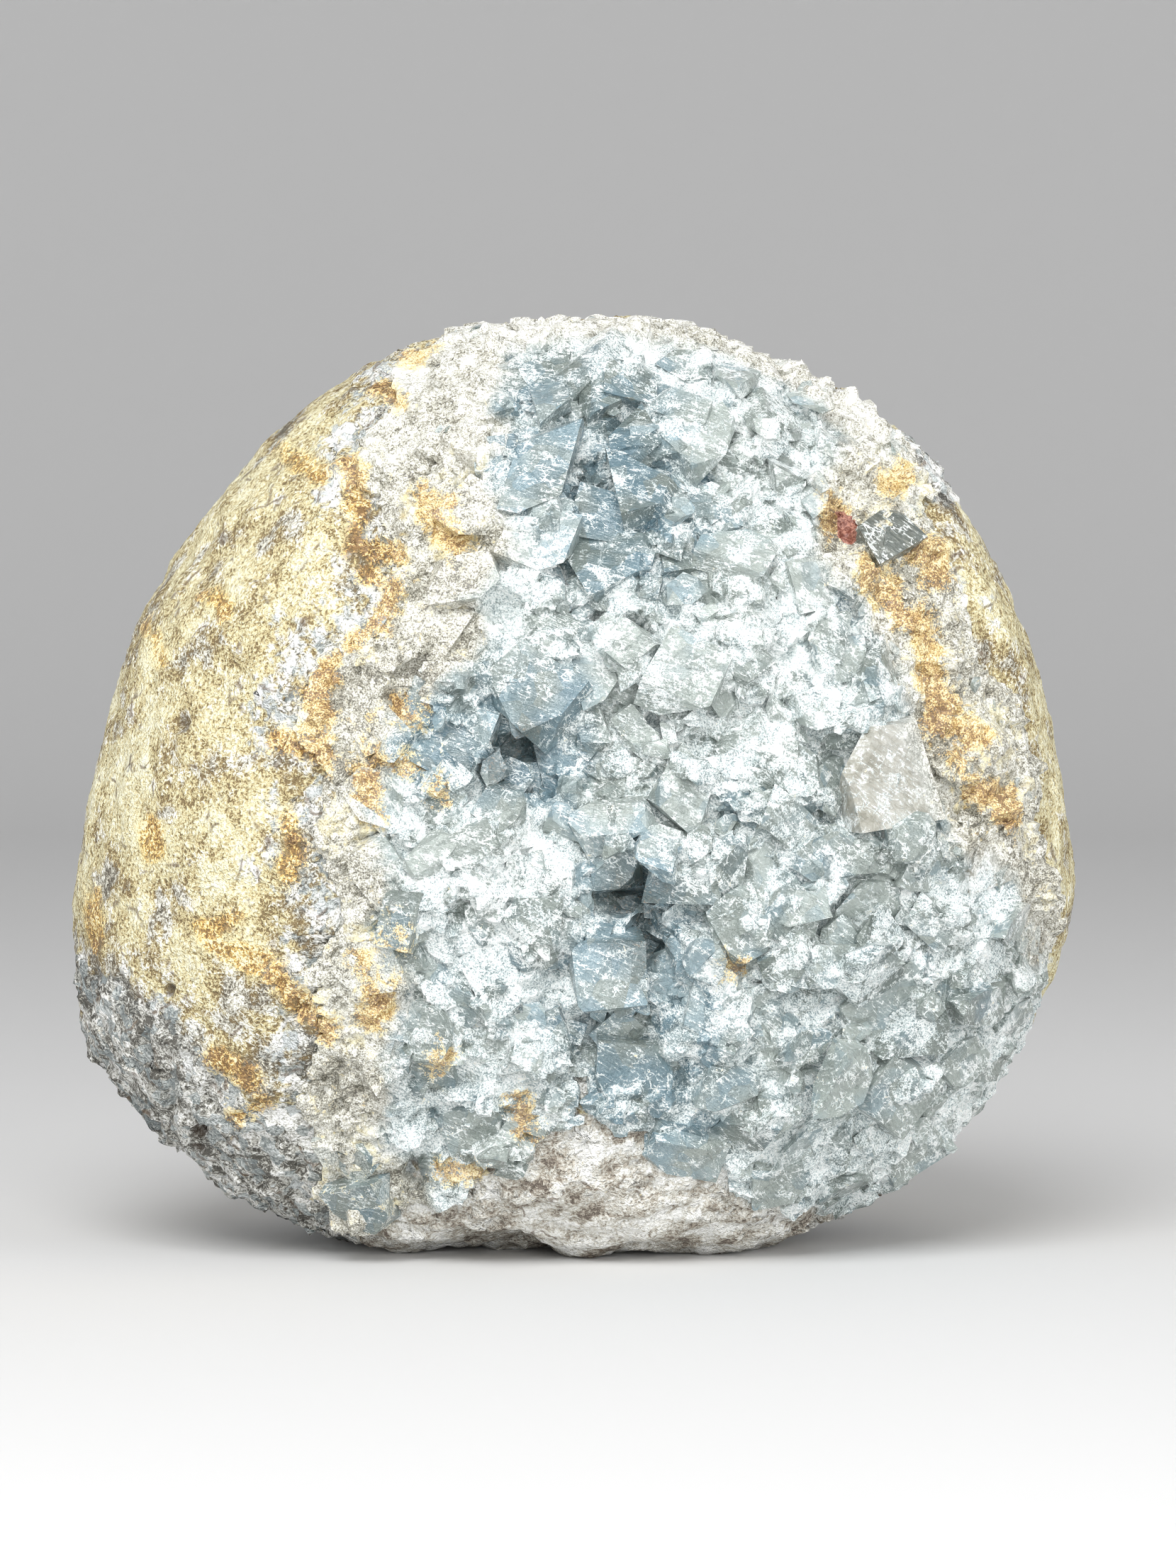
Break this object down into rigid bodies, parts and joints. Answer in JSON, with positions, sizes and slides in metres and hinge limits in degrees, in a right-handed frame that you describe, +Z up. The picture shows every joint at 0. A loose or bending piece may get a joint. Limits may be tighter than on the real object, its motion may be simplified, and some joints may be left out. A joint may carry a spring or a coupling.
{
  "type": "celestite geode",
  "caption": "Rounded sandy nodule broken open at the front onto a crust of pale blue blocky crystals, standing on a small flat spot.",
  "frame": {"origin": "on the ground under the middle of the geode's box", "axes": "+X to the right and +Z up as seen from the front, crystal face towards -Y"},
  "size_m": [0.1352, 0.1058, 0.1254],
  "materials": {
    "sandy_rock": "worn, gritty, dull straw yellow to grey-white",
    "celestite_crystal": "glassy flat faces with frosted white edges"
  },
  "bodies": {
    "root": {"rind": "sandy_rock", "celestite": "celestite_crystal"}
  },
  "joints": []
}
